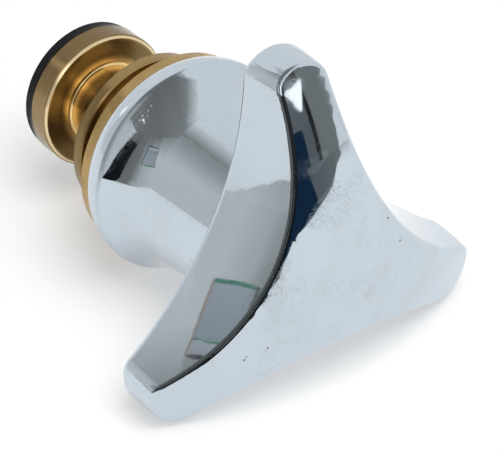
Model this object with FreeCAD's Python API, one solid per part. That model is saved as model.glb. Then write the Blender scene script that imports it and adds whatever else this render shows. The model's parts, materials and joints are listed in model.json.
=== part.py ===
"""Push-on tap handle: three-lobed chrome casting, turned brass stem and black seal ring.

Every piece is modelled in a turning frame: the handle's axis is +Z, running forward from the
spindle socket to the crown of the head, and one lobe points along +Y. The finished pieces are then
laid over together, so that the axis is level, the head faces -Y and that lobe points up.
Lengths are millimetres.
"""

import FreeCAD, Part
import math
import os

# Head: a domed three-lobed star
LOBE_COUNT = 3
LOBE_REACH = 34.1
LOBE_TIP_WIDTH = 10.2
LOBE_END_RADIUS = 6.5
FLANK_RADIUS = 57.4
FLANK_DRAFT = 8.6
LOBE_END_DRAFT = 4.0
SIDE_BOW = 0.66
CROWN_HEIGHT = 16.6
DOME_RADIUS = 70.6
FRONT_EDGE_RADIUS = 0.95
LOBE_CORNER_RADIUS = 3.4
BACK_EDGE_RADIUS = 1.5

# Bell and neck behind the head
BELL_LENGTH = 26.8
BELL_RADIUS = 18.0
BELL_CREST_FROM_RIM = 3.7
BELL_BAND_RADIUS = 6.3
BELL_LIP_RADIUS = 0.5
SHOULDER_RADIUS = 0.8
COVE_RADIUS = 15.0
NECK_STEP = 2.7
NECK_SLOPE = 0.07

# Brass stem, from the back end forward
SEAL_BOSS_RADIUS = 8.0
DISC_RADIUS = 11.5
DISC_THICKNESS = 4.15
DISC_CHAMFER = 0.5
WAIST_RADIUS = 6.4
WAIST_LENGTH = 10.8
WAIST_CORNER_RADIUS = 0.6
TRUMPET_RADIUS = 8.0
STEP_RADIUS = 13.6
STEP_WIDTH = 2.1
STEP_CHAMFER = 0.25
GROOVE_DEPTH = 0.9
GROOVE_WIDTH = 4.25
RIM_RADIUS = 16.6
RIM_WIDTH = 2.3
RIM_CHAMFER = 0.3
SPIGOT_RADIUS = 10.0
SPIGOT_LENGTH = 16.0
SPIGOT_CHAMFER = 0.8

# Spindle socket in the stem: a plain guide bore, then splines
SOCKET_RADIUS = 4.25
SOCKET_GUIDE_LENGTH = 5.0
SOCKET_LEAD_IN = 0.4
SPLINE_COUNT = 20
SPLINE_ROOT_RADIUS = 4.05
SPLINE_CREST_RADIUS = 3.7
SPLINE_LENGTH = 12.0
DRILL_POINT_ANGLE = 118.0

# Seal ring on the back of the disc
SEAL_THICKNESS = 1.65
SEAL_PROUD = 0.4
SEAL_INSET = 0.2
SEAL_EDGE_RADIUS = 0.35

# Clearances between the pieces
SPIGOT_CLEARANCE = 0.04
SPIGOT_END_CLEARANCE = 0.5
SEAL_CLEARANCE = 0.05

# Stations along the axis, measured from the start of the socket's wall
BOSS_END = -SOCKET_LEAD_IN
SEAL_BACK = BOSS_END - SEAL_PROUD
DISC_BACK = SEAL_BACK + SEAL_THICKNESS
DISC_FRONT = DISC_BACK + DISC_THICKNESS
STEP_BACK = DISC_FRONT + WAIST_LENGTH
STEP_FRONT = STEP_BACK + STEP_WIDTH
RIM_BACK = STEP_FRONT + GROOVE_WIDTH
RIM_FRONT = RIM_BACK + RIM_WIDTH
SPIGOT_END = RIM_FRONT + SPIGOT_LENGTH
HEAD_BACK = RIM_FRONT + BELL_LENGTH

ORIGIN = FreeCAD.Vector(0, 0, 0)
AXIS = FreeCAD.Vector(0, 0, 1)
SMOOTH_ANGLE = math.radians(3)
CUT_OVERRUN = 1.0


class Pen:
    """Draws half of a turned section in the XZ plane, from radius and height."""

    def __init__(self, radius, height):
        self.at = FreeCAD.Vector(radius, 0, height)
        self.first = self.at
        self.edges = []

    def line(self, radius, height):
        end = FreeCAD.Vector(radius, 0, height)
        self.edges.append(Part.LineSegment(self.at, end).toShape())
        self.at = end

    def arc(self, centre_radius, centre_height, radius, height):
        """Shorter arc about a centre, from the present point to a new one."""
        centre = FreeCAD.Vector(centre_radius, 0, centre_height)
        end = FreeCAD.Vector(radius, 0, height)
        halfway = (self.at - centre) + (end - centre)
        halfway.normalize()
        middle = centre + halfway * (self.at - centre).Length
        self.edges.append(Part.Arc(self.at, middle, end).toShape())
        self.at = end

    def bowed(self, radius, height, bow):
        """Arc to a new point that bows out from its chord, or in where the bow is negative."""
        end = FreeCAD.Vector(radius, 0, height)
        chord = end - self.at
        outward = FreeCAD.Vector(chord.z, 0, -chord.x).normalize()
        middle = (self.at + end) / 2 + outward * bow
        self.edges.append(Part.Arc(self.at, middle, end).toShape())
        self.at = end

    def turned(self):
        """Close the section and turn it once about the axis."""
        self.line(self.first.x, self.first.z)
        face = Part.Face(Part.Wire(self.edges))
        return face.revolve(ORIGIN, AXIS, 360)


def plan_point(distance, degrees):
    """Point of the head's plan, by its distance and direction from the axis."""
    angle = math.radians(degrees)
    return FreeCAD.Vector(distance * math.cos(angle), distance * math.sin(angle), 0)


def bowed_post(radius, draft, bow):
    """Upright post as tall as the head, whose wall widens forward by a draft and bows out."""
    back = HEAD_BACK - CUT_OVERRUN
    front = HEAD_BACK + CROWN_HEIGHT
    front_radius = radius + CROWN_HEIGHT * math.tan(math.radians(draft))
    pen = Pen(0, back)
    pen.line(radius, back)
    pen.line(radius, HEAD_BACK)
    pen.bowed(front_radius, front, bow)
    pen.line(front_radius, front + CUT_OVERRUN)
    pen.line(0, front + CUT_OVERRUN)
    return pen.turned()


def flank_space(direction):
    """Space in front of one hollow flank, which leans in towards the front and bulges a little."""
    half_pitch = math.radians(180.0 / LOBE_COUNT)
    centre_distance = (LOBE_TIP_WIDTH / 2 + FLANK_RADIUS) / math.sin(half_pitch)
    space = bowed_post(FLANK_RADIUS, FLANK_DRAFT, -SIDE_BOW)
    space.translate(plan_point(centre_distance, direction))
    return space


def lobe_end_space(direction):
    """Space beyond one lobe's rounded end: a block less the post that the end is part of."""
    post = bowed_post(LOBE_END_RADIUS, -LOBE_END_DRAFT, SIDE_BOW)
    # the post's seam goes to its hidden side
    post.rotate(ORIGIN, AXIS, 180)
    post_distance = LOBE_REACH - LOBE_END_RADIUS
    post.translate(FreeCAD.Vector(post_distance, 0, 0))
    corner = FreeCAD.Vector(post_distance, -LOBE_TIP_WIDTH, HEAD_BACK - CUT_OVERRUN)
    block = Part.makeBox(LOBE_END_RADIUS + 2 * CUT_OVERRUN, 2 * LOBE_TIP_WIDTH,
                         CROWN_HEIGHT + 2 * CUT_OVERRUN, corner)
    space = block.cut(post)
    space.rotate(ORIGIN, AXIS, direction)
    return space


def dome_height(radius):
    """Height of the domed front above the head's back, at a distance from the axis."""
    return CROWN_HEIGHT - DOME_RADIUS + math.sqrt(DOME_RADIUS**2 - radius**2)


def sharp_edges(solid):
    """Edges where two faces meet at an angle: neither seams nor the borders of a rounding."""
    found = []
    for edge in solid.Edges:
        faces = solid.ancestorsOfType(edge, Part.Face)
        if len(faces) != 2:
            continue
        middle = edge.valueAt((edge.FirstParameter + edge.LastParameter) / 2)
        normals = [face.normalAt(*face.Surface.parameter(middle)) for face in faces]
        if normals[0].getAngle(normals[1]) > SMOOTH_ANGLE:
            found.append(edge)
    return found


def dome_blank():
    """Turned blank of the head, a little wider than the lobes reach: flat back and domed front."""
    blank_radius = LOBE_REACH + CUT_OVERRUN
    pen = Pen(0, HEAD_BACK)
    pen.line(blank_radius, HEAD_BACK)
    pen.line(blank_radius, HEAD_BACK + dome_height(blank_radius))
    pen.arc(0, HEAD_BACK + CROWN_HEIGHT - DOME_RADIUS, 0, HEAD_BACK + CROWN_HEIGHT)
    return pen.turned()


def star_head():
    """Star cut from the domed blank, with every edge rounded: lobe corners, then back, then front."""
    pitch = 360.0 / LOBE_COUNT
    directions = [90.0 + pitch * lobe for lobe in range(LOBE_COUNT)]
    flanks = [flank_space(direction + pitch / 2) for direction in directions]
    ends = [lobe_end_space(direction) for direction in directions]
    head = dome_blank().cut(flanks + ends).Solids[0]
    mid_height = HEAD_BACK + dome_height(LOBE_REACH) / 2
    corners = [edge for edge in sharp_edges(head) if edge.BoundBox.ZMin < mid_height < edge.BoundBox.ZMax]
    head = head.makeFillet(LOBE_CORNER_RADIUS, corners)
    back = [edge for edge in sharp_edges(head) if edge.BoundBox.ZMax < mid_height]
    head = head.makeFillet(BACK_EDGE_RADIUS, back)
    front = [edge for edge in sharp_edges(head) if edge.BoundBox.ZMin > mid_height]
    return head.makeFillet(FRONT_EDGE_RADIUS, front)


def bell_and_neck():
    """Bell with a bulging band and a tight shoulder, then a long cove down to the slim tapering neck."""
    crest_height = RIM_FRONT + BELL_CREST_FROM_RIM
    band_centre = BELL_RADIUS - BELL_BAND_RADIUS
    lip_height = RIM_FRONT + BELL_LIP_RADIUS
    inner_band = BELL_BAND_RADIUS - BELL_LIP_RADIUS
    lip_out = math.sqrt(inner_band**2 - (lip_height - crest_height) ** 2)
    lip_share = BELL_BAND_RADIUS / inner_band
    shoulder_centre = BELL_RADIUS - SHOULDER_RADIUS
    # centre of the cove: one cove radius outside both the shoulder's arc and the neck's cone
    slant = math.hypot(1, NECK_SLOPE)
    reach = SHOULDER_RADIUS + COVE_RADIUS
    neck_at_crest = BELL_RADIUS - NECK_STEP
    neck_end = neck_at_crest - NECK_SLOPE * (HEAD_BACK - crest_height)
    gap = neck_at_crest + COVE_RADIUS * slant - shoulder_centre
    along = (NECK_SLOPE * gap + math.sqrt((reach * slant) ** 2 - gap**2)) / slant**2
    out = gap - NECK_SLOPE * along
    share = SHOULDER_RADIUS / reach
    pen = Pen(0, RIM_FRONT)
    pen.line(band_centre + lip_out, RIM_FRONT)
    pen.arc(band_centre + lip_out, lip_height,
            band_centre + lip_out * lip_share, crest_height + (lip_height - crest_height) * lip_share)
    pen.arc(band_centre, crest_height, BELL_RADIUS, crest_height)
    pen.arc(shoulder_centre, crest_height, shoulder_centre + out * share, crest_height + along * share)
    pen.arc(shoulder_centre + out, crest_height + along,
            shoulder_centre + out - COVE_RADIUS / slant,
            crest_height + along - COVE_RADIUS * NECK_SLOPE / slant)
    pen.line(neck_end, HEAD_BACK)
    # the neck runs a little way into the head, so that the two join as one casting
    pen.line(neck_end, HEAD_BACK + BACK_EDGE_RADIUS)
    pen.line(0, HEAD_BACK + BACK_EDGE_RADIUS)
    return pen.turned()


def handle_body():
    """Head, neck and bell as one casting, bored from behind for the stem's spigot."""
    bore = Part.makeCylinder(SPIGOT_RADIUS + SPIGOT_CLEARANCE, SPIGOT_LENGTH + SPIGOT_END_CLEARANCE,
                             AXIS * RIM_FRONT, AXIS)
    return star_head().fuse(bell_and_neck()).removeSplitter().cut(bore)


def stem_blank():
    """Turned outside of the stem: boss, disc, trumpet waist, step, groove, rim and spigot."""
    trumpet_rise = STEP_RADIUS - STEP_CHAMFER - WAIST_RADIUS
    trumpet_centre = WAIST_RADIUS + TRUMPET_RADIUS
    trumpet_length = math.sqrt(TRUMPET_RADIUS**2 - (TRUMPET_RADIUS - trumpet_rise) ** 2)
    corner = WAIST_CORNER_RADIUS
    groove_radius = STEP_RADIUS - GROOVE_DEPTH
    pen = Pen(0, BOSS_END)
    pen.line(SEAL_BOSS_RADIUS, BOSS_END)
    pen.line(SEAL_BOSS_RADIUS, DISC_BACK)
    pen.line(DISC_RADIUS, DISC_BACK)
    pen.line(DISC_RADIUS, DISC_FRONT - DISC_CHAMFER)
    pen.line(DISC_RADIUS - DISC_CHAMFER, DISC_FRONT)
    pen.line(WAIST_RADIUS + corner, DISC_FRONT)
    pen.arc(WAIST_RADIUS + corner, DISC_FRONT + corner, WAIST_RADIUS, DISC_FRONT + corner)
    pen.line(WAIST_RADIUS, STEP_BACK - trumpet_length)
    pen.arc(trumpet_centre, STEP_BACK - trumpet_length, STEP_RADIUS - STEP_CHAMFER, STEP_BACK)
    pen.line(STEP_RADIUS, STEP_BACK + STEP_CHAMFER)
    pen.line(STEP_RADIUS, STEP_FRONT - STEP_CHAMFER)
    pen.line(STEP_RADIUS - STEP_CHAMFER, STEP_FRONT)
    pen.line(groove_radius, STEP_FRONT)
    pen.line(groove_radius, RIM_BACK)
    pen.line(RIM_RADIUS - RIM_CHAMFER, RIM_BACK)
    pen.line(RIM_RADIUS, RIM_BACK + RIM_CHAMFER)
    pen.line(RIM_RADIUS, RIM_FRONT)
    pen.line(SPIGOT_RADIUS, RIM_FRONT)
    pen.line(SPIGOT_RADIUS, SPIGOT_END - SPIGOT_CHAMFER)
    pen.line(SPIGOT_RADIUS - SPIGOT_CHAMFER, SPIGOT_END)
    pen.line(0, SPIGOT_END)
    return pen.turned()


def socket_bore():
    """Space of the guide bore, its lead-in and the drill point beyond the splines."""
    spline_end = SOCKET_GUIDE_LENGTH + SPLINE_LENGTH
    point_depth = SPLINE_CREST_RADIUS / math.tan(math.radians(DRILL_POINT_ANGLE / 2))
    pen = Pen(0, BOSS_END)
    pen.line(SOCKET_RADIUS + SOCKET_LEAD_IN, BOSS_END)
    pen.line(SOCKET_RADIUS, 0)
    pen.line(SOCKET_RADIUS, SOCKET_GUIDE_LENGTH)
    pen.line(SPLINE_CREST_RADIUS, SOCKET_GUIDE_LENGTH)
    pen.line(SPLINE_CREST_RADIUS, spline_end)
    pen.line(0, spline_end + point_depth)
    return pen.turned()


def spline_grooves():
    """Space of the spline grooves: a ring of pointed teeth run along the socket."""
    pitch = 360.0 / SPLINE_COUNT
    points = []
    for tooth in range(SPLINE_COUNT):
        points.append(plan_point(SPLINE_CREST_RADIUS, tooth * pitch))
        points.append(plan_point(SPLINE_ROOT_RADIUS, (tooth + 0.5) * pitch))
    outline = Part.makePolygon(points + points[:1])
    grooves = Part.Face(outline).extrude(AXIS * SPLINE_LENGTH)
    grooves.translate(AXIS * SOCKET_GUIDE_LENGTH)
    return grooves


def brass_stem():
    """Turned stem with its splined spindle socket."""
    return stem_blank().cut(socket_bore().fuse(spline_grooves()))


def seal_ring():
    """Flat ring that seats round the boss and stands a little proud of it."""
    inner = SEAL_BOSS_RADIUS + SEAL_CLEARANCE
    outer = DISC_RADIUS - SEAL_INSET
    pen = Pen(inner, SEAL_BACK)
    pen.line(outer - SEAL_EDGE_RADIUS, SEAL_BACK)
    pen.arc(outer - SEAL_EDGE_RADIUS, SEAL_BACK + SEAL_EDGE_RADIUS, outer, SEAL_BACK + SEAL_EDGE_RADIUS)
    pen.line(outer, DISC_BACK)
    pen.line(inner, DISC_BACK)
    return pen.turned()


def lay_over(shape):
    """Turn a piece from the turning frame to the handle's own frame."""
    shape.rotate(ORIGIN, FreeCAD.Vector(1, 0, 0), 90)
    return shape


def main():
    os.makedirs("parts", exist_ok=True)
    for name, build in (("handle_body", handle_body), ("brass_stem", brass_stem), ("seal_ring", seal_ring)):
        shape = lay_over(build())
        shape.exportStep(f"parts/{name}.step")
        state = "valid" if shape.isValid() else "not valid"
        print(name, len(shape.Solids), "solid", round(shape.Volume), "mm3", state)


main()
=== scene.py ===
"""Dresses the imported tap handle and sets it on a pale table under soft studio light.

The CAD nodes keep their form. Each sub-assembly class dresses its own node, and the studio classes
build the table, the cards that the plating mirrors, the light and the camera.
"""

import json
import logging
import math
from dataclasses import dataclass
from enum import Enum
from typing import Any, Sequence, Union

import bmesh
import bpy
from mathutils import Matrix, Vector

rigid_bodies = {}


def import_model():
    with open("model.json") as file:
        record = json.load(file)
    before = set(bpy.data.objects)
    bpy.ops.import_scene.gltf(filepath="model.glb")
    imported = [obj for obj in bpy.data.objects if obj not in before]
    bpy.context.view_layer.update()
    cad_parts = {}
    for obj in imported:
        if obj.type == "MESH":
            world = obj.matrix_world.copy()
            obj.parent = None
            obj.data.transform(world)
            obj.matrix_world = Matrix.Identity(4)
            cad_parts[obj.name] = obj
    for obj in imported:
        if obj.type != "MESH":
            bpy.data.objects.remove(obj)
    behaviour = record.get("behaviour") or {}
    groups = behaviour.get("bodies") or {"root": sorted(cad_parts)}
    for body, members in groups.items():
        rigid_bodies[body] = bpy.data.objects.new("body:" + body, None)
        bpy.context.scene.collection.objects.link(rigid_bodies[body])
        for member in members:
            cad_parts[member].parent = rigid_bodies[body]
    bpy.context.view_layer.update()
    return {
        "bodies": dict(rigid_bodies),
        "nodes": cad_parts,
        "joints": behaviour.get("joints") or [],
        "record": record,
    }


Colour = tuple[float, float, float]
Point = tuple[float, float, float]
Span = tuple[float, float]

MM = 0.001
MIX_FACTOR, MIX_FIRST, MIX_SECOND, MIX_RESULT = 0, 6, 7, 2
SQUARE = ((-1, -1), (1, -1), (1, 1), (-1, 1))
FLAT_SQUARE = ((0.0, 0.0), (1.0, 0.0), (1.0, 1.0), (0.0, 1.0))
FLAT_MIDDLE = (0.5, 0.5)
WALL, BEFORE_WALL, BEFORE_GAP = 2.5, 2.45, 2.4
log = logging.getLogger("tap_handle")


class Signal:
    """A value socket that takes part in Python sums by adding Math nodes."""

    def __init__(self, shader: "Shader", socket: bpy.types.NodeSocket) -> None:
        """Keeps the socket and the shader that it belongs to."""
        self.shader = shader
        self.socket = socket

    def __add__(self, other: "Term") -> "Signal":
        """Sum of two terms."""
        return self.shader.maths("ADD", self, other)

    __radd__ = __add__

    def __sub__(self, other: "Term") -> "Signal":
        """Difference of two terms."""
        return self.shader.maths("SUBTRACT", self, other)

    def __rsub__(self, other: "Term") -> "Signal":
        """Difference of two terms, the other way round."""
        return self.shader.maths("SUBTRACT", other, self)

    def __mul__(self, other: "Term") -> "Signal":
        """Product of two terms."""
        return self.shader.maths("MULTIPLY", self, other)

    __rmul__ = __mul__

    def __pow__(self, other: "Term") -> "Signal":
        """One term raised to another."""
        return self.shader.maths("POWER", self, other)

    def __gt__(self, other: "Term") -> "Signal":
        """One where this term is the greater, and nought elsewhere."""
        return self.shader.maths("GREATER_THAN", self, other)

    def __abs__(self) -> "Signal":
        """Size of the term without its sign."""
        return self.shader.maths("ABSOLUTE", self)

    def smaller(self, other: "Term") -> "Signal":
        """The smaller of two terms."""
        return self.shader.maths("MINIMUM", self, other)

    def larger(self, other: "Term") -> "Signal":
        """The larger of two terms."""
        return self.shader.maths("MAXIMUM", self, other)

    def between(self, low: float, high: float) -> "Signal":
        """Smooth step of the term from nought at low to one at high.

        Args:
            low: Value that gives nought.
            high: Value that gives one; it may lie below low.

        Returns:
            The stepped term.
        """
        settings = {"interpolation_type": "SMOOTHSTEP", "clamp": True}
        links = {"Value": self, "From Min": low, "From Max": high, "To Min": 0.0, "To Max": 1.0}
        if high < low:
            links.update({"From Min": high, "From Max": low, "To Min": 1.0, "To Max": 0.0})
        return self.shader.value("ShaderNodeMapRange", "Result", settings, links)


Term = Union[Signal, float]
Feed = Union[Signal, bpy.types.NodeSocket, float, Sequence[float]]


class Shader:
    """Builds the node tree of one material or of the world."""

    def __init__(self, tree: bpy.types.NodeTree) -> None:
        """Empties the tree, ready for new nodes."""
        self.tree = tree
        self.tree.nodes.clear()

    @classmethod
    def for_material(cls, name: str) -> tuple["Shader", bpy.types.Material]:
        """Starts a new material.

        Args:
            name: Name of the material.

        Returns:
            The shader and the material that it fills.
        """
        material = bpy.data.materials.new(name)
        material.use_nodes = True
        return cls(material.node_tree), material

    def node(self, kind: str, settings: dict[str, Any] | None = None,
             links: dict[str | int, Feed] | None = None) -> bpy.types.Node:
        """Adds any node.

        Args:
            kind: Blender's type name of the node.
            settings: Properties, set before the sockets.
            links: Values or links of the sockets, by name or number.

        Returns:
            The new node.
        """
        made = self.tree.nodes.new(kind)
        for name, setting in (settings or {}).items():
            setattr(made, name, setting)
        for name, feed in (links or {}).items():
            self._feed(made.inputs[name], feed)
        return made

    def value(self, kind: str, output: str | int, settings: dict[str, Any] | None = None,
              links: dict[str | int, Feed] | None = None) -> Signal:
        """Adds any node and wraps one of its outputs.

        Args:
            kind: Blender's type name of the node.
            output: Name or number of the output.
            settings: Properties, set before the sockets.
            links: Values or links of the sockets.

        Returns:
            The wrapped output.
        """
        return Signal(self, self.node(kind, settings, links).outputs[output])

    def maths(self, operation: str, *terms: Term) -> Signal:
        """Adds one Math node for an operation on its terms."""
        return self.value("ShaderNodeMath", 0, {"operation": operation}, dict(enumerate(terms)))

    def vector(self, operation: str, output: str, *terms: Feed) -> Signal:
        """Adds one Vector Math node for an operation on its terms."""
        return self.value("ShaderNodeVectorMath", output, {"operation": operation}, dict(enumerate(terms)))

    def scaled(self, place: Feed, factor: float) -> Signal:
        """Multiplies a vector by a number."""
        made = self.node("ShaderNodeVectorMath", {"operation": "SCALE"}, {0: place, "Scale": factor})
        return Signal(self, made.outputs["Vector"])

    def mixed(self, factor: Term, first: Feed, second: Feed) -> Signal:
        """Blends two colours.

        Args:
            factor: Share of the second colour.
            first: Colour at nought.
            second: Colour at one.

        Returns:
            The blended colour.
        """
        links = {MIX_FACTOR: factor, MIX_FIRST: first, MIX_SECOND: second}
        return self.value("ShaderNodeMix", MIX_RESULT, {"data_type": "RGBA"}, links)

    def layered(self, base: Feed, layers: Sequence[tuple[Term, Feed]]) -> Signal:
        """Lays colours over one another.

        Args:
            base: Lowest colour.
            layers: Share and colour of each layer, from the lowest to the topmost.

        Returns:
            The colour that shows.
        """
        colour = base
        for share, layer in layers:
            colour = self.mixed(share, colour, layer)
        return colour

    def split(self, place: Feed) -> tuple[Signal, ...]:
        """Parts of a place along X, Y and Z."""
        parts = self.node("ShaderNodeSeparateXYZ", None, {"Vector": place})
        return tuple(Signal(self, part) for part in parts.outputs)

    def seen_or_mirrored(self) -> Signal:
        """One for rays that show a surface to the camera, straight or by way of metal or glass."""
        rays = self.node("ShaderNodeLightPath")
        kinds = ("Is Camera Ray", "Is Glossy Ray", "Is Transmission Ray")
        straight, mirrored, refracted = (Signal(self, rays.outputs[kind]) for kind in kinds)
        return straight + mirrored + refracted

    def place_in_mm(self) -> Signal:
        """Place on the piece in its own frame, in millimetres."""
        spot = self.value("ShaderNodeTexCoord", "Object")
        return self.scaled(spot, 1 / MM)

    def noise(self, place: Feed, scale: float, detail: float = 3.0, roughness: float = 0.5) -> Signal:
        """Cloudy noise over a place in millimetres."""
        links = {"Vector": place, "Scale": scale, "Detail": detail, "Roughness": roughness}
        return self.value("ShaderNodeTexNoise", 0, None, links)

    def spot(self, place: Feed, mark: "Mark", core: float = 0.35) -> Signal:
        """Round spot on a mark, one in its core, a share of its radius, and nought beyond its radius."""
        return self.vector("DISTANCE", "Value", place, mark.centre).between(mark.radius, core * mark.radius)

    def bump(self, height: Term, strength: float, distance: float, under: Feed | None = None) -> Signal:
        """Bump from a height in units of the distance, which is in millimetres."""
        links: dict[str | int, Feed] = {"Height": height, "Strength": strength, "Distance": distance * MM}
        if under is not None:
            links["Normal"] = under
        return self.value("ShaderNodeBump", "Normal", None, links)

    def close(self, shader: Feed) -> None:
        """Ends the tree with a surface shader."""
        self.node("ShaderNodeOutputMaterial", None, {"Surface": shader})

    def _feed(self, socket: bpy.types.NodeSocket, feed: Feed) -> None:
        """Links a socket or sets its value."""
        if isinstance(feed, Signal):
            self.tree.links.new(feed.socket, socket)
        elif isinstance(feed, bpy.types.NodeSocket):
            self.tree.links.new(feed, socket)
        elif isinstance(feed, (int, float)):
            socket.default_value = feed
        else:
            numbers = tuple(feed)
            wants_alpha = socket.type == "RGBA" and len(numbers) == 3
            socket.default_value = numbers + (1.0,) if wants_alpha else numbers


@dataclass(frozen=True)
class Mark:
    """A small dent or stain at one place on a surface, in millimetres."""

    centre: Point
    radius: float


@dataclass(frozen=True)
class Hairlines:
    """Sparse straight scratches that all run one way; the turn is in radians and the sizes in millimetres."""

    turn: Point
    length: float
    width: float
    keep: float
    ridge: Span = (0.022, 0.004)
    patch_scale: float = 0.11
    patch_edge: Span = (0.72, 0.78)

    def draw(self, shader: Shader, place: Signal) -> Signal:
        """Draws the scratches.

        Args:
            shader: Shader that the nodes go into.
            place: Place in millimetres.

        Returns:
            One on a scratch and nought elsewhere.
        """
        turned = shader.value("ShaderNodeVectorRotate", "Vector", {"rotation_type": "EULER_XYZ"},
                              {"Vector": place, "Rotation": self.turn})
        stretch = (1 / self.length, 1 / self.width, 1 / self.width)
        line = shader.noise(shader.vector("MULTIPLY", "Vector", turned, stretch), 1.0, detail=1.0)
        low, high = self.patch_edge
        where = shader.noise(turned, self.patch_scale, detail=1.0).between(low - self.keep, high - self.keep)
        return abs(line - 0.5).between(*self.ridge) * where


@dataclass(frozen=True)
class ChromeFinish:
    """Polished chrome plating with smears, hairline scratches and a few pits; lengths in millimetres."""

    tint: Colour = (0.560, 0.632, 0.700)
    smeared: Colour = (0.50, 0.55, 0.59)
    scuffed: Colour = (0.36, 0.38, 0.40)
    pitted: Colour = (0.055, 0.055, 0.06)
    stained: Colour = (0.47, 0.46, 0.44)
    smear_share: float = 0.26
    film_share: float = 0.06
    stain_share: float = 0.5
    scuff_share: float = 0.42
    pit_share: float = 0.85
    gloss: float = 0.025
    smear_gloss: float = 0.045
    scratch_gloss: float = 0.16
    pit_gloss: float = 0.3
    worn_gloss: float = 0.35
    smear_scale: float = 0.16
    smear_edge: Span = (0.42, 0.72)
    film_scale: float = 1.3
    wave_scale: float = 0.12
    wave_strength: float = 0.06
    wave_height: float = 0.10
    relief_strength: float = 0.20
    relief_height: float = 0.02
    film_relief: float = 0.03
    scratch_depth: float = 0.4
    pit_depth: float = 4.0
    families: tuple[Hairlines, ...] = (
        Hairlines((0.0, 0.5, 0.25), 5.0, 0.28, 0.22),
        Hairlines((0.2, -0.9, 0.1), 7.0, 0.34, 0.20),
        Hairlines((-0.3, 1.4, 0.6), 4.0, 0.25, 0.18),
    )
    least_rubbed: float = 0.12
    rubbed_front: Span = (-63.5, -65.0)
    rubbed_bell: Span = (-50.0, -46.0)
    bell_rub: float = 0.6
    speck_scale: float = 0.34
    speck_rarity: float = 0.92
    speck_edge: Span = (0.028, 0.010)
    speck_depth: float = 0.35
    pits: tuple[Mark, ...] = (
        Mark((-16.81, -65.14, -9.27), 0.30),
        Mark((-16.43, -65.30, -8.79), 0.22),
        Mark((-13.03, -66.10, -8.21), 0.26),
        Mark((9.83, -66.86, 6.14), 0.28),
        Mark((12.05, -66.77, 0.87), 0.26),
        Mark((-13.44, -47.77, -1.54), 0.55),
    )
    stain: Mark = Mark((5.19, -67.39, -5.62), 1.4)
    worn_edge: float = -28.5
    worn_band: Span = (0.55, 0.22)
    worn_side: Span = (-6.0, -11.0)
    crown: Mark = Mark((0.0, -67.85, 0.0), 2.2)
    dome_centre: Point = (0.0, 2.75, 0.0)

    def make(self) -> bpy.types.Material:
        """Builds the material.

        Returns:
            The finished chrome.
        """
        shader, material = Shader.for_material("polished_chrome")
        place = shader.place_in_mm()
        across, along, _ = shader.split(place)
        smear = shader.noise(place, self.smear_scale, detail=4.0, roughness=0.6).between(*self.smear_edge)
        film = shader.noise(place, self.film_scale, detail=3.0, roughness=0.55)
        scratches = self._scratches(shader, place, along)
        pits = self._pits(shader, place)
        stain = shader.spot(place, self.stain) * film
        worn = abs(along - self.worn_edge).between(*self.worn_band) * across.between(*self.worn_side)
        colour = shader.layered(self.tint, (
            (smear * self.smear_share + film * self.film_share, self.smeared),
            (stain * self.stain_share, self.stained),
            (scratches * self.scuff_share, self.scuffed),
            (pits * self.pit_share, self.pitted)))
        gloss = self.gloss + smear * (self.smear_gloss - self.gloss) + scratches * self.scratch_gloss
        gloss = gloss + pits * self.pit_gloss + worn * self.worn_gloss
        swell = shader.noise(place, self.wave_scale, detail=1.0)
        waves = shader.bump(swell, self.wave_strength, self.wave_height)
        height = film * self.film_relief - scratches * self.scratch_depth - pits * self.pit_depth
        relief = shader.bump(height, self.relief_strength, self.relief_height, waves)
        body = shader.node("ShaderNodeBsdfPrincipled", None, {
            "Base Color": colour, "Metallic": 1.0, "Roughness": gloss,
            "Normal": self._smooth_crown(shader, place, relief)})
        shader.close(body.outputs["BSDF"])
        return material

    def _scratches(self, shader: Shader, place: Signal, along: Signal) -> Signal:
        """All families of scratches, where hands and tables rub the plating most.

        Args:
            shader: Shader that the nodes go into.
            place: Place in millimetres.
            along: Place along the handle's axis.

        Returns:
            One on a full scratch and nought elsewhere.
        """
        scratches = self.families[0].draw(shader, place)
        for family in self.families[1:]:
            scratches = scratches.larger(family.draw(shader, place))
        rubbed = self.least_rubbed + along.between(*self.rubbed_front)
        rubbed = rubbed + along.between(*self.rubbed_bell) * self.bell_rub
        return scratches * rubbed.smaller(1.0)

    def _smooth_crown(self, shader: Shader, place: Signal, relief: Signal) -> Signal:
        """Gives the crown of the dome its true slope, where the mesh comes to a single point.

        Args:
            shader: Shader that the nodes go into.
            place: Place in millimetres.
            relief: Normal elsewhere.

        Returns:
            The normal with a smooth crown.
        """
        outward = shader.vector("SUBTRACT", "Vector", place, self.dome_centre)
        outward = shader.vector("NORMALIZE", "Vector", outward)
        outward = shader.value("ShaderNodeVectorTransform", "Vector", {
            "vector_type": "NORMAL", "convert_from": "OBJECT", "convert_to": "WORLD"}, {"Vector": outward})
        return shader.mixed(shader.spot(place, self.crown), relief, outward)

    def _pits(self, shader: Shader, place: Signal) -> Signal:
        """Named pits plus a thin scatter of specks.

        Args:
            shader: Shader that the nodes go into.
            place: Place in millimetres.

        Returns:
            One in a pit and nought elsewhere.
        """
        cells = shader.node("ShaderNodeTexVoronoi", None, {"Vector": place, "Scale": self.speck_scale})
        draw = shader.value("ShaderNodeSeparateColor", "Red", None, {"Color": cells.outputs["Color"]})
        speck = Signal(shader, cells.outputs["Distance"]).between(*self.speck_edge)
        pits = speck * (draw > self.speck_rarity) * self.speck_depth
        for pit in self.pits:
            pits = pits.larger(shader.spot(place, pit))
        return pits


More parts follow.
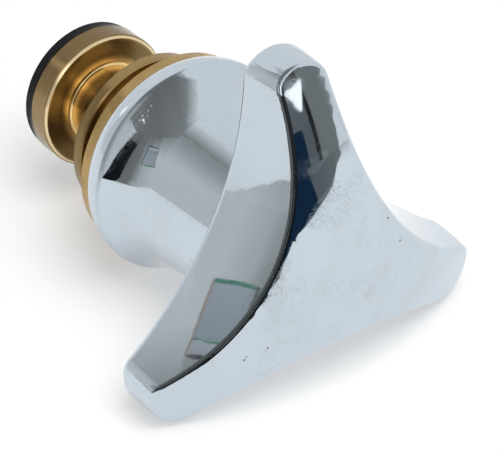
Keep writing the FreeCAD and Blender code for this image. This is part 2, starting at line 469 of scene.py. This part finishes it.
@dataclass(frozen=True)
class BrassFinish:
    """Turned brass: fine tool lines round the axis, tarnish and dark specks, painted shade on the step and
    the disc's front face, and painted highlights on the waist and the disc's chamfer; lengths in millimetres.
    """

    bright: Colour = (0.45, 0.315, 0.135)
    aged: Colour = (0.35, 0.235, 0.098)
    tarnish: Colour = (0.085, 0.058, 0.030)
    handled: Colour = (0.28, 0.195, 0.095)
    # painted shade: darker brass laid on the step and on the disc's front face
    painted_shade: Colour = (0.170, 0.116, 0.050)
    # painted highlight: brighter brass on the waist
    waist_painted_highlight: Colour = (0.88, 0.63, 0.29)
    # painted highlight on the disc's front chamfer
    edge: Colour = (0.95, 0.80, 0.50)
    seam: Colour = (0.020, 0.017, 0.015)
    gloss: float = 0.12
    aged_gloss: float = 0.20
    speck_gloss: float = 0.2
    line_gloss: float = 0.06
    fine_scale: float = 9.0
    broad_scale: float = 2.2
    cloud_scale: float = 0.30
    speck_scale: float = 2.4
    patch_edge: Span = (0.34, 0.72)
    speck_edge: Span = (0.63, 0.72)
    speck_patch: Span = (0.40, 0.58)
    line_edge: Span = (0.42, 0.62)
    line_share: float = 0.30
    speck_share: float = 0.75
    disc_front: Span = (-5.4, -4.6)
    disc_side: Span = (10.6, 11.2)
    # the disc's side is darker towards its top over this span
    disc_top: Span = (2.0, 9.0)
    top_darkening: float = 0.45
    disc_face: Span = (11.2, 10.4)
    waist: Span = (8.4, 6.9)
    step_front: Span = (-18.5, -18.0)
    step_back: Span = (-15.2, -15.7)
    step_left: Span = (-4.0, -10.0)
    # painted shade on the step, deeper on its left side
    step_painted_shade: float = 0.35
    left_painted_shade: float = 0.55
    chamfer_back: Span = (-4.60, -4.80)
    chamfer_front: Span = (-5.40, -5.25)
    chamfer_side: Span = (10.85, 11.0)
    # share of the painted highlight on the disc's front chamfer
    chamfer_painted_highlight: float = 0.85
    # a dark band along the disc's back edge, beside the black ring
    seam_band: Span = (-1.35, -1.05)
    seam_band_wander: float = 0.4
    fine_relief: float = 0.6
    broad_relief: float = 0.4
    relief_strength: float = 0.30
    relief_height: float = 0.02

    def make(self) -> bpy.types.Material:
        """Builds the material.

        Returns:
            The finished brass.
        """
        shader, material = Shader.for_material("turned_brass")
        place = shader.place_in_mm()
        across, along, upward = shader.split(place)
        reach = (across * across + upward * upward) ** 0.5
        profile = shader.value("ShaderNodeCombineXYZ", "Vector", None, {"X": along, "Y": reach})
        fine = shader.noise(profile, self.fine_scale, detail=2.0)
        broad = shader.noise(profile, self.broad_scale, detail=2.0)
        cloud = shader.noise(place, self.cloud_scale, detail=6.0, roughness=0.70)
        patch = cloud.between(*self.patch_edge)
        specks = shader.noise(place, self.speck_scale, detail=4.0, roughness=0.7).between(*self.speck_edge)
        specks = specks * cloud.between(*self.speck_patch)
        disc = along.between(*self.disc_front) * reach.between(*self.disc_side)
        step = along.between(*self.step_front) * along.between(*self.step_back)
        # painted shade on the step, deeper on its left side
        painted_step_shade = step * (self.step_painted_shade + across.between(*self.step_left) * self.left_painted_shade)
        chamfer = along.between(*self.chamfer_back) * along.between(*self.chamfer_front)
        chamfer = chamfer * reach.between(*self.chamfer_side)
        colour = shader.layered(self.bright, (
            (patch, self.aged),
            (disc, self.handled),
            # the disc's side darker towards its top, in the tarnish colour
            (disc * upward.between(*self.disc_top) * self.top_darkening, self.tarnish),
            # painted shade on the step and on the disc's front face
            (painted_step_shade, self.painted_shade),
            (reach.between(*self.disc_face), self.painted_shade),
            # painted highlight on the waist
            (reach.between(*self.waist), self.waist_painted_highlight),
            # painted highlight on the disc's front chamfer
            (chamfer * self.chamfer_painted_highlight, self.edge),
            (fine.between(*self.line_edge) * self.line_share, self.aged),
            (specks * self.speck_share, self.tarnish),
            # dark band along the disc's back edge, beside the black ring
            ((along + cloud * self.seam_band_wander).between(*self.seam_band), self.seam)))
        gloss = self.gloss + patch * (self.aged_gloss - self.gloss)
        gloss = gloss + specks * self.speck_gloss + fine * self.line_gloss
        lines = fine * self.fine_relief + broad * self.broad_relief
        relief = shader.bump(lines, self.relief_strength, self.relief_height)
        body = shader.node("ShaderNodeBsdfPrincipled", None, {
            "Base Color": colour, "Metallic": 1.0, "Roughness": gloss, "Normal": relief})
        shader.close(body.outputs["BSDF"])
        return material


@dataclass(frozen=True)
class RubberFinish:
    """Black rubber with a dull skin and a little dust; lengths in millimetres."""

    skin: Colour = (0.006, 0.007, 0.009)
    dust: Colour = (0.030, 0.032, 0.036)
    sheen: float = 0.15
    grain_scale: float = 3.5
    dust_scale: float = 0.5
    dust_edge: Span = (0.50, 0.78)
    dust_share: float = 0.5
    gloss: float = 0.45
    grain_gloss: float = 0.2
    relief_strength: float = 0.25
    relief_height: float = 0.05

    def make(self) -> bpy.types.Material:
        """Builds the material.

        Returns:
            The finished rubber.
        """
        shader, material = Shader.for_material("black_rubber")
        place = shader.place_in_mm()
        grain = shader.noise(place, self.grain_scale, detail=4.0, roughness=0.6)
        dusty = shader.noise(place, self.dust_scale, detail=5.0, roughness=0.65).between(*self.dust_edge)
        colour = shader.mixed(dusty * self.dust_share, self.skin, self.dust)
        relief = shader.bump(grain, self.relief_strength, self.relief_height)
        body = shader.node("ShaderNodeBsdfPrincipled", None, {
            "Base Color": colour, "Roughness": self.gloss + grain * self.grain_gloss, "Normal": relief,
            "Specular IOR Level": self.sheen})
        shader.close(body.outputs["BSDF"])
        return material


@dataclass(frozen=True)
class TableFinish:
    """Pale matt table that reads as white where nothing shades it."""

    paper: Colour = (0.64, 0.64, 0.635)
    grain_scale: float = 0.8
    grain_shade: float = 0.99
    lift: float = 0.41

    def make(self) -> bpy.types.Material:
        """Builds the material.

        Returns:
            The finished table top.
        """
        shader, material = Shader.for_material("pale_table")
        seen = shader.seen_or_mirrored()
        grain = shader.noise(shader.place_in_mm(), self.grain_scale, detail=2.0)
        paper = shader.mixed(grain, self.paper, tuple(self.grain_shade * part for part in self.paper))
        lifted = shader.mixed(seen, (0.0, 0.0, 0.0), (self.lift,) * 3)
        body = shader.node("ShaderNodeBsdfPrincipled", None, {
            "Base Color": paper, "Roughness": 1.0, "Specular IOR Level": 0.0,
            "Emission Color": lifted, "Emission Strength": 1.0})
        shader.close(body.outputs["BSDF"])
        return material


@dataclass(frozen=True)
class CardFinish:
    """Plain card that glows in one colour, or from one colour to another, upwards or sideways."""

    start: Colour
    end: Colour
    sideways: bool = False

    def make(self, name: str) -> bpy.types.Material:
        """Builds the material.

        Args:
            name: Name of the card.

        Returns:
            The finished card.
        """
        shader, material = Shader.for_material(name)
        colour: Feed = self.start
        if self.start != self.end:
            wide, tall, _ = shader.split(shader.value("ShaderNodeTexCoord", "UV"))
            colour = shader.mixed(wide if self.sideways else tall, self.start, self.end)
        glow = shader.node("ShaderNodeEmission", None, {"Color": colour, "Strength": 1.0})
        shader.close(glow.outputs[0])
        return material


NodeFinish = Union[ChromeFinish, BrassFinish, RubberFinish]


class Slot(Enum):
    """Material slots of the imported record."""

    CHROME = "chrome"
    BRASS = "brass"
    RUBBER = "rubber"


@dataclass
class SubAssembly:
    """CAD node that keeps its form and takes a finish."""

    node: str
    slot: Slot
    finish: NodeFinish

    def dress(self, frame: dict[str, Any]) -> None:
        """Gives all faces of the node its finish.

        Args:
            frame: The loaded frame.
        """
        node = frame["nodes"][self.node]
        material = self.finish.make()
        slots = node.material_slots
        if not slots:
            node.data.materials.append(material)
        for slot in slots:
            slot.material = material
        log.info("dressed %s, slot %s, with %s", self.node, self.slot.value, material.name)


@dataclass
class HandleBody(SubAssembly):
    """Cast head, neck and bell under one coat of chrome."""

    node: str = "handle_body"
    slot: Slot = Slot.CHROME
    finish: NodeFinish = ChromeFinish()


@dataclass
class BrassStem(SubAssembly):
    """Turned stem behind the bell."""

    node: str = "brass_stem"
    slot: Slot = Slot.BRASS
    finish: NodeFinish = BrassFinish()


@dataclass
class SealRing(SubAssembly):
    """Black ring on the back of the stem's disc."""

    node: str = "seal_ring"
    slot: Slot = Slot.RUBBER
    finish: NodeFinish = RubberFinish()


def mesh_object(name: str, corners: Sequence[Vector], faces: Sequence[Sequence[int]],
                flat: Sequence[tuple[float, float]]) -> bpy.types.Object:
    """Makes a mesh object with a flat map.

    Args:
        name: Name of the object.
        corners: Corner points in metres.
        faces: Corner numbers of each face.
        flat: Place of each corner on the flat map.

    Returns:
        The object, linked into the scene.
    """
    mesh = bpy.data.meshes.new(name)
    build = bmesh.new()
    points = [build.verts.new(corner) for corner in corners]
    layer = build.loops.layers.uv.new("flat")
    for face in faces:
        made = build.faces.new([points[number] for number in face])
        for loop, number in zip(made.loops, face):
            loop[layer].uv = flat[number]
    build.to_mesh(mesh)
    build.free()
    made_object = bpy.data.objects.new(name, mesh)
    bpy.context.scene.collection.objects.link(made_object)
    return made_object


@dataclass
class Table:
    """Pale table top that the handle lies on, tilted to its three points of rest."""

    tilt: float = math.radians(5.0619)
    drop: float = 15.447 * MM
    reach: float = 3.0
    finish: TableFinish = TableFinish()

    def plane(self) -> Matrix:
        """Frame of the table top: its middle under the handle and its Z axis up from the top.

        Returns:
            The matrix from table to row frame.
        """
        turn = Matrix.Rotation(self.tilt, 4, "X")
        return turn @ Matrix.Translation((0.0, 0.0, -self.drop))

    def build(self) -> bpy.types.Object:
        """Builds the table top.

        Returns:
            The table.
        """
        reach = self.reach
        place = self.plane()
        corners = [place @ Vector((across * reach, along * reach, 0.0)) for across, along in SQUARE]
        top = mesh_object("table_top", corners, [(0, 1, 2, 3)], FLAT_SQUARE)
        top.data.materials.append(self.finish.make())
        log.info("built the table top")
        return top


@dataclass
class Card:
    """Curved studio card that only polished surfaces see.

    Azimuth 0 is straight in front of the head and grows towards +X. Angles are in degrees. The foot
    is the azimuth range at the bottom, where that differs from the range at the top.
    """

    name: str
    azimuth: Span
    elevation: Span
    finish: CardFinish
    foot: Span | None = None
    distance: float = WALL
    centre: Point = (0.0, -0.05, 0.0)
    steps: int = 12

    def _point(self, across: float, up: float) -> Vector:
        """Point of the card at a share of its width and height."""
        foot = self.foot or self.azimuth
        low = foot[0] + across * (foot[1] - foot[0])
        high = self.azimuth[0] + across * (self.azimuth[1] - self.azimuth[0])
        turn = math.radians(low + up * (high - low))
        rise = math.radians(self.elevation[0] + up * (self.elevation[1] - self.elevation[0]))
        flat = self.distance * math.cos(rise)
        spot = Vector((flat * math.sin(turn), -flat * math.cos(turn), self.distance * math.sin(rise)))
        return Vector(self.centre) + spot

    def build(self) -> bpy.types.Object:
        """Builds the card.

        Returns:
            The card.
        """
        row = self.steps + 1
        flat = [(i / self.steps, j / self.steps) for j in range(row) for i in range(row)]
        corners = [self._point(*spot) for spot in flat]
        faces = []
        for j in range(self.steps):
            for i in range(self.steps):
                start = j * row + i
                faces.append((start, start + 1, start + row + 1, start + row))
        card = mesh_object(self.name, corners, faces, flat)
        finish_card(card, self.finish)
        return card


@dataclass
class FloorCard:
    """Flat card over the table beyond its edge, seen only by polished surfaces.

    The edge is a chain of azimuths in degrees and distances in millimetres from the head's back.
    """

    name: str
    edge: tuple[tuple[float, float], ...]
    finish: CardFinish
    lift: float = 0.5 * MM
    far: float = 2.6
    centre: tuple[float, float] = (0.0, -0.05)

    def _point(self, azimuth: float, distance: float) -> Vector:
        """Point above the table, in the table's frame, by its direction and distance."""
        turn = math.radians(azimuth)
        across = self.centre[0] + distance * math.sin(turn)
        along = self.centre[1] - distance * math.cos(turn)
        return Vector((across, along, self.lift))

    def build(self, table: Table) -> bpy.types.Object:
        """Builds the card.

        Args:
            table: Table that it lies on.

        Returns:
            The card.
        """
        place = table.plane()
        last = len(self.edge) - 1
        near = [place @ self._point(azimuth, distance * MM) for azimuth, distance in self.edge]
        far = [place @ self._point(azimuth, self.far) for azimuth, _ in self.edge]
        flat = [(step / last, side) for side in (0.0, 1.0) for step in range(last + 1)]
        faces = [(step, step + 1, step + last + 2, step + last + 1) for step in range(last)]
        card = mesh_object(self.name, near + far, faces, flat)
        finish_card(card, self.finish)
        return card


def finish_card(card: bpy.types.Object, finish: CardFinish) -> None:
    """Dresses a card and keeps it out of everything but reflections.

    Args:
        card: The card.
        finish: Its finish.
    """
    card.data.materials.append(finish.make(card.name))
    card.visible_camera = False
    card.visible_diffuse = False
    card.visible_shadow = False
    card.visible_transmission = False
    log.info("built card %s", card.name)


BLACK = (0.010, 0.012, 0.014)
CHARCOAL = (0.040, 0.043, 0.045)
SHADE = (0.16, 0.16, 0.155)
DIM = (0.225, 0.225, 0.21)
HALF = (0.34, 0.34, 0.33)
MID = (0.55, 0.55, 0.54)
GREY = (0.69, 0.69, 0.68)
PALE = (0.84, 0.84, 0.84)
PANEL_NEAR = (0.76, 0.76, 0.76)
PANEL_FAR = (0.64, 0.64, 0.64)
BLUE_BLACK = (0.010, 0.028, 0.060)
CURTAIN = (0.145, 0.155, 0.160)
SHUTTER = (0.24, 0.245, 0.235)
LAMP = (1.7, 1.65, 1.6)

SKY_CARDS = (
    Card("far_wall", (-158.0, -130.0), (-7.0, 32.0), CardFinish(PALE, GREY)),
    Card("mid_wall", (-130.0, -122.0), (-7.0, 32.0), CardFinish(GREY, GREY)),
    Card("high_wall", (-158.0, -122.0), (32.0, 52.0), CardFinish(GREY, HALF)),
    Card("left_wall", (-122.0, -109.0), (-7.0, 34.0), CardFinish(GREY, MID, sideways=True)),
    Card("left_high_wall", (-122.0, -109.0), (34.0, 52.0), CardFinish(MID, DIM)),
    Card("near_wall", (-109.0, -98.0), (-7.0, 34.0), CardFinish(MID, DIM, sideways=True)),
    Card("near_high_wall", (-109.0, -98.0), (34.0, 52.0), CardFinish(HALF, DIM)),
    Card("dim_wall", (-98.0, -87.0), (-7.0, 50.0), CardFinish(DIM, DIM)),
    Card("left_gap", (-87.0, -73.0), (-7.0, 36.0), CardFinish(BLACK, BLACK)),
    Card("gap_head", (-87.0, -73.0), (36.0, 50.0), CardFinish(SHADE, DIM)),
    Card("pale_panel", (-70.0, -44.0), (-12.0, 48.0), CardFinish(PANEL_NEAR, PANEL_FAR, sideways=True),
         distance=0.16, centre=(-0.017, -0.028, 0.005)),
    Card("dim_screen", (-92.0, -50.0), (-14.0, 52.0), CardFinish(CHARCOAL, DIM),
         distance=0.05, centre=(-0.012, -0.065, 0.0)),
    Card("room_left", (-73.0, -45.0), (-7.0, 41.0), CardFinish(BLACK, BLACK)),
    Card("front_room", (-45.0, 21.0), (-7.0, 17.0), CardFinish(BLACK, CHARCOAL)),
    Card("room_slit", (-35.0, -28.0), (-7.0, 4.0), CardFinish(DIM, DIM), distance=BEFORE_GAP),
    Card("room_lamp", (-45.0, -22.0), (17.0, 40.0), CardFinish(LAMP, LAMP)),
    Card("front_high_room", (-22.0, 21.0), (17.0, 34.0), CardFinish(CHARCOAL, DIM)),
    Card("front_blue", (21.0, 24.3), (-7.0, 4.0), CardFinish(BLUE_BLACK, BLUE_BLACK)),
    Card("front_curtain", (24.3, 27.2), (-7.0, 4.0), CardFinish(CURTAIN, CURTAIN)),
    Card("front_head", (21.0, 27.2), (4.0, 34.0), CardFinish(CURTAIN, SHUTTER)),
    Card("front_gap", (26.9, 28.1), (-7.0, 34.0), CardFinish(BLACK, CHARCOAL), distance=BEFORE_WALL),
    Card("front_shutter", (27.9, 35.0), (-7.0, 34.0), CardFinish(SHUTTER, SHUTTER), foot=(27.9, 33.0)),
    Card("front_lamp", (24.0, 28.8), (8.2, 14.2), CardFinish(LAMP, LAMP), foot=(25.2, 25.9),
         distance=BEFORE_GAP),
    Card("waist_lamp", (-153.0, -143.0), (32.0, 42.0), CardFinish(LAMP, LAMP),
         distance=0.06, centre=(-0.004, -0.006, 0.005)),
)

FLOOR_CARDS = (
    FloorCard("far_wall_foot", ((-178.0, 500.0), (-158.0, 300.0), (-140.0, 460.0), (-130.0, 510.0)),
              CardFinish(PALE, PALE)),
    FloorCard("mid_wall_foot", ((-130.0, 510.0), (-127.0, 520.0), (-122.0, 430.0)), CardFinish(GREY, GREY)),
    FloorCard("left_wall_foot", ((-122.0, 430.0), (-115.0, 320.0), (-109.0, 262.0)),
              CardFinish(GREY, MID, sideways=True)),
    FloorCard("near_wall_foot", ((-109.0, 262.0), (-98.0, 250.0)), CardFinish(MID, DIM, sideways=True)),
    FloorCard("dim_wall_foot", ((-98.0, 250.0), (-87.0, 240.0)), CardFinish(DIM, DIM)),
    FloorCard("left_gap_foot", ((-87.0, 240.0), (-73.0, 195.0)), CardFinish(BLACK, BLACK)),
    FloorCard("front_floor", ((-73.0, 195.0), (-57.0, 150.0), (-45.0, 60.0), (-34.0, 37.5), (-15.0, 45.0),
                              (3.0, 69.0), (6.0, 82.0)), CardFinish(BLACK, BLACK)),
    FloorCard("room_slit_foot", ((-35.0, 120.0), (-28.0, 110.0)), CardFinish(DIM, DIM), lift=1.0 * MM),
    FloorCard("front_blue_foot", ((6.0, 82.0), (14.0, 126.0), (18.0, 148.0), (23.0, 190.0)),
              CardFinish(BLUE_BLACK, BLUE_BLACK)),
    FloorCard("front_shutter_foot", ((23.0, 190.0), (28.0, 265.0), (31.0, 560.0), (33.0, 900.0)),
              CardFinish(CURTAIN, SHUTTER, sideways=True)),
)


@dataclass
class CeilingCard:
    """Flat card above the set; its corners are given in units of its height above the handle."""

    name: str
    corners: tuple[tuple[float, float], ...]
    finish: CardFinish
    height: float = 2.0

    def build(self) -> bpy.types.Object:
        """Builds the card, with its flat map on the first four corners and its middle on the rest.

        Returns:
            The card.
        """
        points = [Vector((across, along, 1.0)) * self.height for across, along in self.corners]
        flat = list(FLAT_SQUARE) + [FLAT_MIDDLE] * (len(points) - len(FLAT_SQUARE))
        card = mesh_object(self.name, points, [tuple(range(len(points)))], flat)
        finish_card(card, self.finish)
        return card


CEILING_CARDS = (
    CeilingCard("dim_ceiling", ((-0.28, 0.74), (0.45, -0.27), (0.30, -0.47), (-0.07, -0.505), (-1.25, -0.74),
                                (-1.35, 0.10), (-1.0, 0.95), (-0.36, 0.90)),
                CardFinish((0.31, 0.31, 0.295), (0.20, 0.20, 0.19))),
    CeilingCard("ceiling_border", ((-0.28, 0.74), (0.45, -0.27), (0.65, -0.11), (-0.08, 0.90)),
                CardFinish((0.32, 0.32, 0.305), (0.86, 0.86, 0.86))),
    CeilingCard("ceiling_front", ((0.30, -0.47), (-1.25, -0.74), (-1.27, -0.88), (0.36, -0.60)),
                CardFinish(HALF, PALE)),
    CeilingCard("ceiling_corner", ((0.45, -0.27), (0.30, -0.47), (0.36, -0.60), (0.65, -0.11)),
                CardFinish(HALF, PALE)),
)


@dataclass(frozen=True)
class CeilingLight:
    """Small square light just below the ceiling, in units of its height above the handle."""

    across: float
    along: float
    half: float
    height: float = 1.9

    def card(self, number: int) -> CeilingCard:
        """Makes the card of the light.

        Args:
            number: Number for the name.

        Returns:
            The card, ready to build.
        """
        corners = tuple((self.across + i * self.half, self.along + j * self.half) for i, j in SQUARE)
        return CeilingCard(f"ceiling_light_{number}", corners, CardFinish(LAMP, LAMP), self.height)


CEILING_LIGHTS = (
    CeilingLight(-0.62, -0.33, 0.030), CeilingLight(-0.56, -0.41, 0.018), CeilingLight(-0.68, -0.42, 0.016),
    CeilingLight(-0.66, -0.27, 0.014), CeilingLight(-0.41, -0.36, 0.012), CeilingLight(-0.30, -0.37, 0.010),
    CeilingLight(-0.50, -0.30, 0.010),
)


@dataclass
class Window:
    """Framed pane far off to the left, which the flank and the bell mirror; angles in degrees."""

    azimuth: Span = (-122.5, -104.0)
    elevation: Span = (20.5, 41.0)
    bar: float = 1.0
    transom: float = 36.3
    distance: float = BEFORE_GAP
    layer: float = 0.01
    pane: CardFinish = CardFinish((0.44, 0.46, 0.49), (0.33, 0.37, 0.385))
    upper_pane: CardFinish = CardFinish((0.50, 0.51, 0.52), (0.40, 0.41, 0.42))
    sill: CardFinish = CardFinish((0.10, 0.30, 0.20), (0.07, 0.22, 0.15))
    head: CardFinish = CardFinish((0.10, 0.10, 0.10), (0.08, 0.08, 0.08))
    side: CardFinish = CardFinish((0.42, 0.33, 0.26), (0.36, 0.29, 0.24))

    def build(self) -> None:
        """Builds the pane and its frame as cards, each a number of layers before the pane."""
        left, right = self.azimuth
        low, high = self.elevation
        bar, transom = self.bar, self.transom
        cards = (
            ("window_pane", (left, right), (low, high), self.pane, 0.0),
            ("window_upper_pane", (left, right), (transom, high), self.upper_pane, 0.5),
            ("window_transom", (left, right), (transom, transom + 0.5 * bar), self.sill, 1.0),
            ("window_head", (left, right), (high - bar, high), self.head, 1.0),
            ("window_sill", (left, right), (low, low + bar), self.sill, 1.0),
            ("window_jamb_left", (left, left + bar), (low, high), self.side, 2.0),
            ("window_jamb_right", (right - bar, right), (low, high), self.head, 2.0),
        )
        for name, azimuth, elevation, finish, layers in cards:
            Card(name, azimuth, elevation, finish, distance=self.distance - layers * self.layer).build()


@dataclass
class Studio:
    """Table, cards, window and even light."""

    table: Table
    white: float = 0.92
    fill: float = 0.40
    lamp_place: Point = (0.02, -0.50, 1.10)
    lamp_size: float = 0.9
    lamp_power: float = 10.4

    def build(self) -> None:
        """Builds the whole set."""
        self.table.build()
        for card in SKY_CARDS:
            card.build()
        for card in FLOOR_CARDS:
            card.build(self.table)
        for card in CEILING_CARDS:
            card.build()
        for number, light in enumerate(CEILING_LIGHTS):
            light.card(number).build()
        Window().build()
        self._surround()
        self._lamp()

    def _surround(self) -> None:
        """Lights the set with an even surround, which is white where it is seen or mirrored."""
        world = bpy.data.worlds.new("soft_surround")
        world.use_nodes = True
        shader = Shader(world.node_tree)
        seen = shader.seen_or_mirrored()
        level = shader.mixed(seen, (self.fill,) * 3, (self.white,) * 3)
        even = shader.node("ShaderNodeBackground", None, {"Color": level, "Strength": 1.0})
        shader.node("ShaderNodeOutputWorld", None, {"Surface": even.outputs[0]})
        bpy.context.scene.world = world
        log.info("lit the surround")

    def _lamp(self) -> None:
        """Hangs a large soft lamp above and in front of the handle, which nothing mirrors."""
        light = bpy.data.lights.new("soft_box", "AREA")
        light.size = self.lamp_size
        light.energy = self.lamp_power
        lamp = bpy.data.objects.new("soft_box", light)
        spot = Vector(self.lamp_place)
        lamp.matrix_world = Matrix.Translation(spot) @ spot.to_track_quat("Z", "Y").to_matrix().to_4x4()
        lamp.visible_glossy = False
        bpy.context.scene.collection.objects.link(lamp)
        log.info("hung the lamp")


@dataclass
class PhotoCamera:
    """Camera at the photograph's viewing angle; lengths in metres and angles in degrees."""

    azimuth: float = -34.437
    elevation: float = 34.747
    roll: float = -2.953
    distance: float = 0.94519
    target: Point = (0.0, -0.05125, 0.0)
    aim_right: float = -4.0946 * MM
    aim_up: float = 0.260 * MM
    lens: float = 442.437
    sensor: float = 36.0

    def place(self) -> Matrix:
        """Works out where the camera stands.

        Returns:
            The camera's matrix in the row frame.
        """
        turn, rise, roll = (math.radians(angle) for angle in (self.azimuth, self.elevation, self.roll))
        back = Vector((math.sin(turn) * math.cos(rise), -math.cos(turn) * math.cos(rise), math.sin(rise)))
        level = Vector((math.cos(turn), math.sin(turn), 0.0))
        upright = back.cross(level)
        right = level * math.cos(roll) + upright * math.sin(roll)
        up = upright * math.cos(roll) - level * math.sin(roll)
        spot = Vector(self.target) + back * self.distance + right * self.aim_right + up * self.aim_up
        turned = Matrix((right, up, back)).transposed().to_4x4()
        return Matrix.Translation(spot) @ turned

    def build(self) -> bpy.types.Object:
        """Builds the camera and makes it the scene's own.

        Returns:
            The camera.
        """
        lens = bpy.data.cameras.new("photo_camera")
        lens.sensor_fit = "HORIZONTAL"
        lens.sensor_width = self.sensor
        lens.lens = self.lens
        camera = bpy.data.objects.new("photo_camera", lens)
        camera.matrix_world = self.place()
        bpy.context.scene.collection.objects.link(camera)
        bpy.context.scene.camera = camera
        log.info("placed the camera")
        return camera


def main() -> None:
    """Loads the frame, dresses each sub-assembly and builds the studio."""
    logging.basicConfig(level=logging.INFO, format="%(message)s")
    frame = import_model()
    bpy.context.scene.view_settings.view_transform = "Standard"
    for assembly in (HandleBody(), BrassStem(), SealRing()):
        assembly.dress(frame)
    Studio(Table()).build()
    PhotoCamera().build()


if __name__ == "__main__":
    main()
